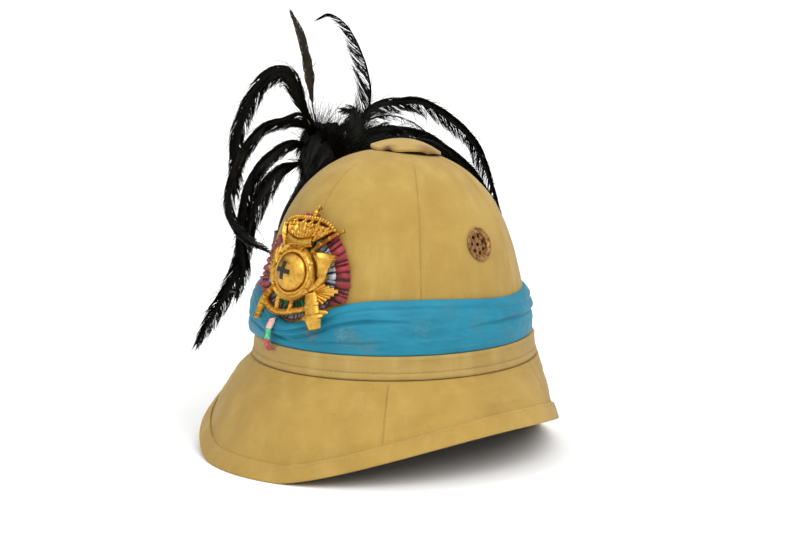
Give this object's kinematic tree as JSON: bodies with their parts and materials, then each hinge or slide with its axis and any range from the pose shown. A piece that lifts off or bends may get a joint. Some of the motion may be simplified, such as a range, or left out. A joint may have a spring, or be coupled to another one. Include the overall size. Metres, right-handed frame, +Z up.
{
  "type": "pith helmet with sash, cockade, badge and feather plume",
  "caption": "Cloth-covered pith helmet with a tall crown, sloping bound brim, folded silk sash, ribbon cockade, pierced gilt badge, ventilators and a black feather plume.",
  "frame": {"origin": "middle of the footprint box, plume included, on the surface that the rim rests on", "axes": "+Z up, the helmet's front towards -Y, the wearer's left towards +X"},
  "size_m": [0.2954, 0.342, 0.3313],
  "materials": {
    "khaki_cloth": "matt cotton cloth over pith",
    "band_cloth": "matt twill",
    "silk": "soft silk",
    "red_ribbon": "pleated ribbon",
    "pale_ribbon": "pleated ribbon",
    "green_ribbon": "pleated ribbon",
    "gilt_brass": "gilt, cast",
    "aged_brass": "browned",
    "black_leather": "plain",
    "black_feather": "glossy black feathers"
  },
  "bodies": {
    "root": {"crown": "khaki_cloth", "brim": "khaki_cloth", "brim_binding": "khaki_cloth", "hatband": "band_cloth", "sash": "silk", "cockade_outer": "red_ribbon", "cockade_middle": "pale_ribbon", "cockade_centre": "green_ribbon", "badge": "gilt_brass", "ribbon_loop": "red_ribbon", "ventilator_cap": "khaki_cloth", "side_vent_left": "aged_brass", "side_vent_right": "aged_brass", "plume_socket": "black_leather", "plume": "black_feather"}
  },
  "joints": []
}
